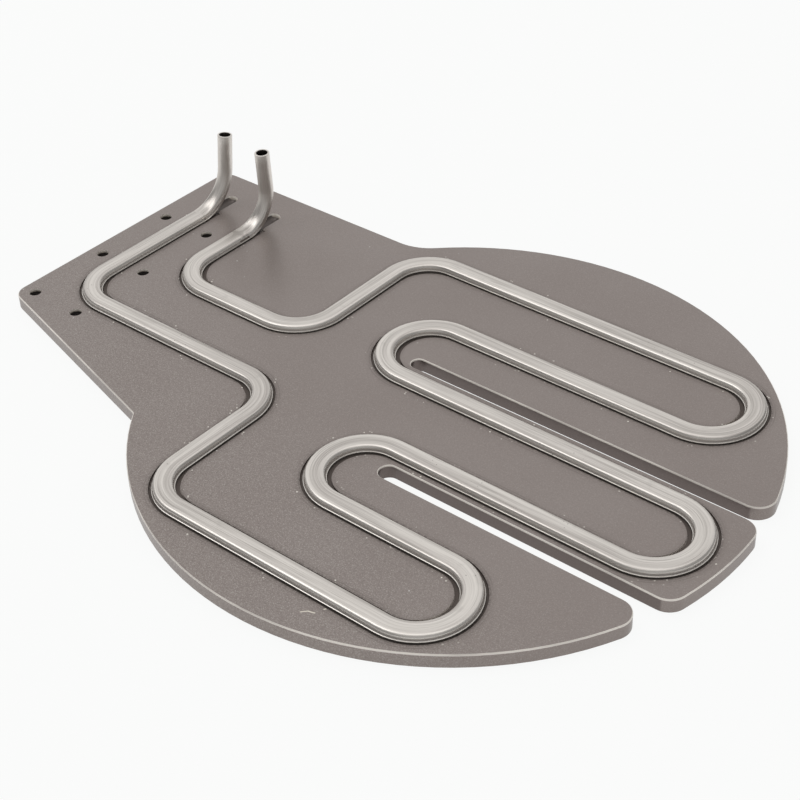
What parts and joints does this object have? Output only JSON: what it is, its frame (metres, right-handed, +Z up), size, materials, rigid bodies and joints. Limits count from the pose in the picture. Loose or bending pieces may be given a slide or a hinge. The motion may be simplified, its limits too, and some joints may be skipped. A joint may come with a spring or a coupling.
{
  "type": "liquid cooling cold plate",
  "caption": "Flat metal cold plate with a slotted round end and a bolt-on tab, carrying one winding coolant tube pressed into its top face with two upright tube stubs.",
  "frame": {"origin": "centre of the round end on the plate's underside, which is the face that meets the hot surface", "axes": "+X along the slots towards the open fingertips, with the bolt-on tab on the -X side; +Z up through the plate towards the tube"},
  "size_m": [0.3987, 0.3, 0.0491],
  "materials": {
    "plate": "satin brushed, with fine specks",
    "tube": "burnished lengthwise",
    "bond": "rough"
  },
  "bodies": {
    "root": {"base_plate": "plate", "coolant_tube": "tube", "thermal_bond": "bond"}
  },
  "joints": []
}
